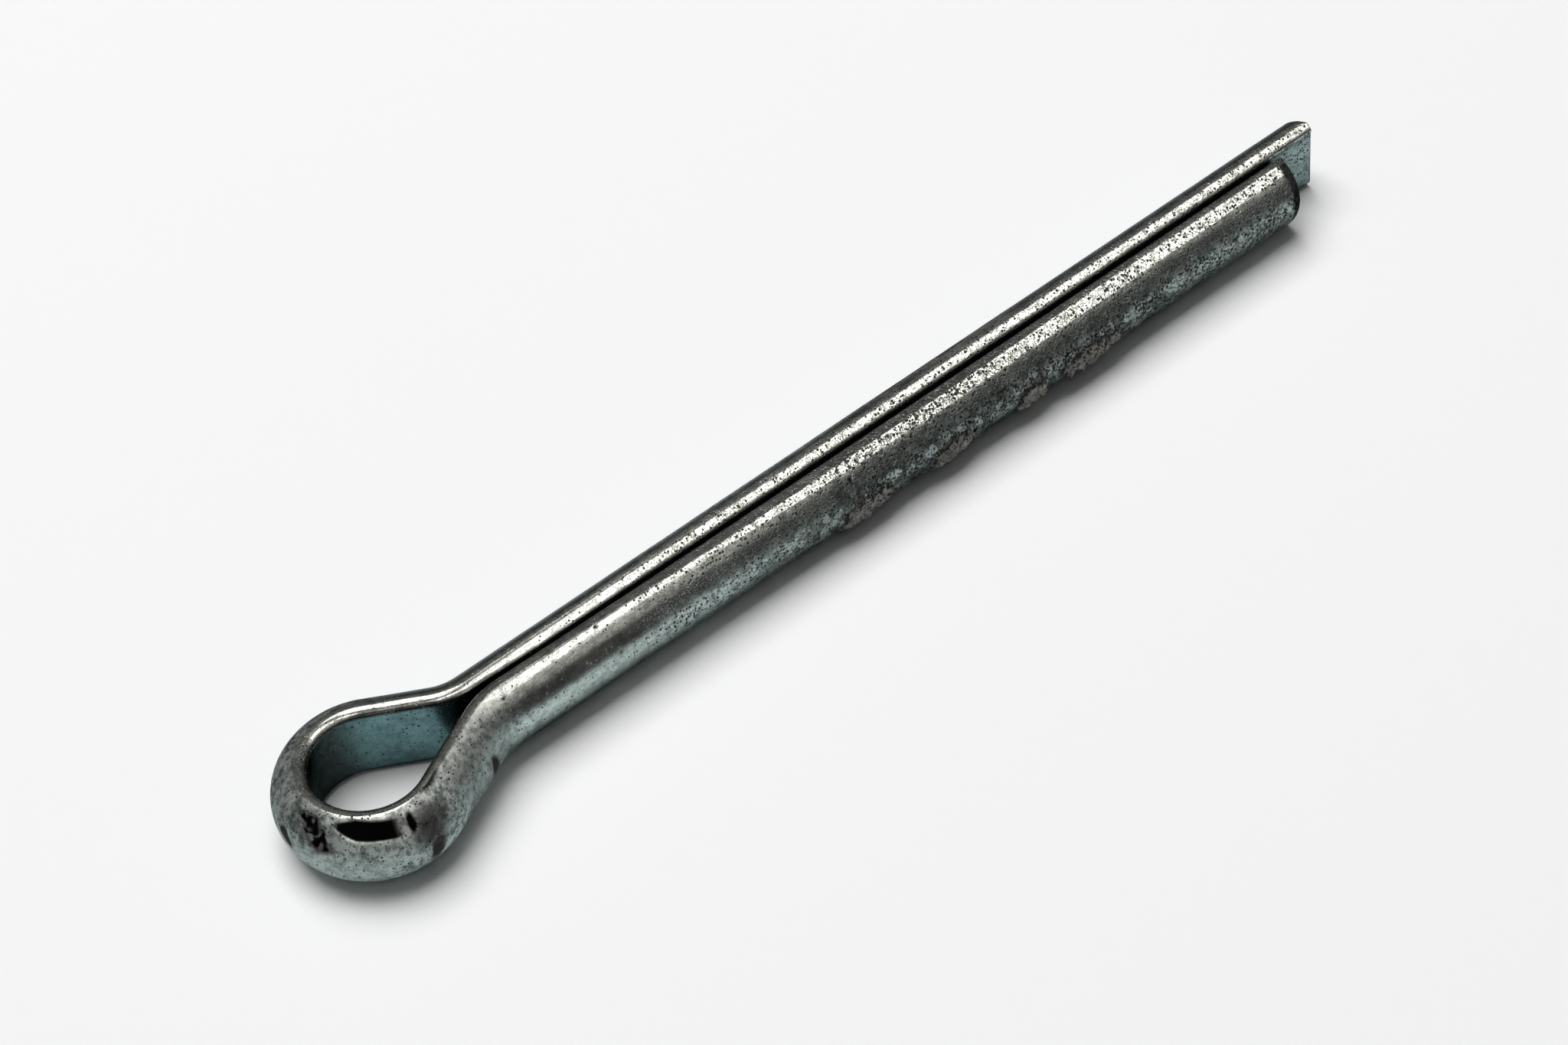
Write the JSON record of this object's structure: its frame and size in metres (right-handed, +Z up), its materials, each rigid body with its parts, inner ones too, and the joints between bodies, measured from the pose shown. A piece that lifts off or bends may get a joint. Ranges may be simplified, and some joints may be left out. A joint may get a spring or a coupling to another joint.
{
  "type": "cotter pin",
  "caption": "Split cotter pin of half-round steel wire, bent back on itself into a round eye, with flat-faced prongs lying side by side and ending at unequal lengths.",
  "frame": {"origin": "centre of the overall box, on the plane that the pin lies on", "axes": "+X along the prongs, from the eye to the cut ends; +Y from the short prong to the long one; +Z up through the eye's opening, across the width of the wire"},
  "size_m": [0.0864, 0.0126, 0.0059],
  "materials": {
    "plated_steel": "bright zinc plating with dark pits, dents and scabby patches"
  },
  "bodies": {
    "root": {"cotter_pin": "plated_steel"}
  },
  "joints": []
}
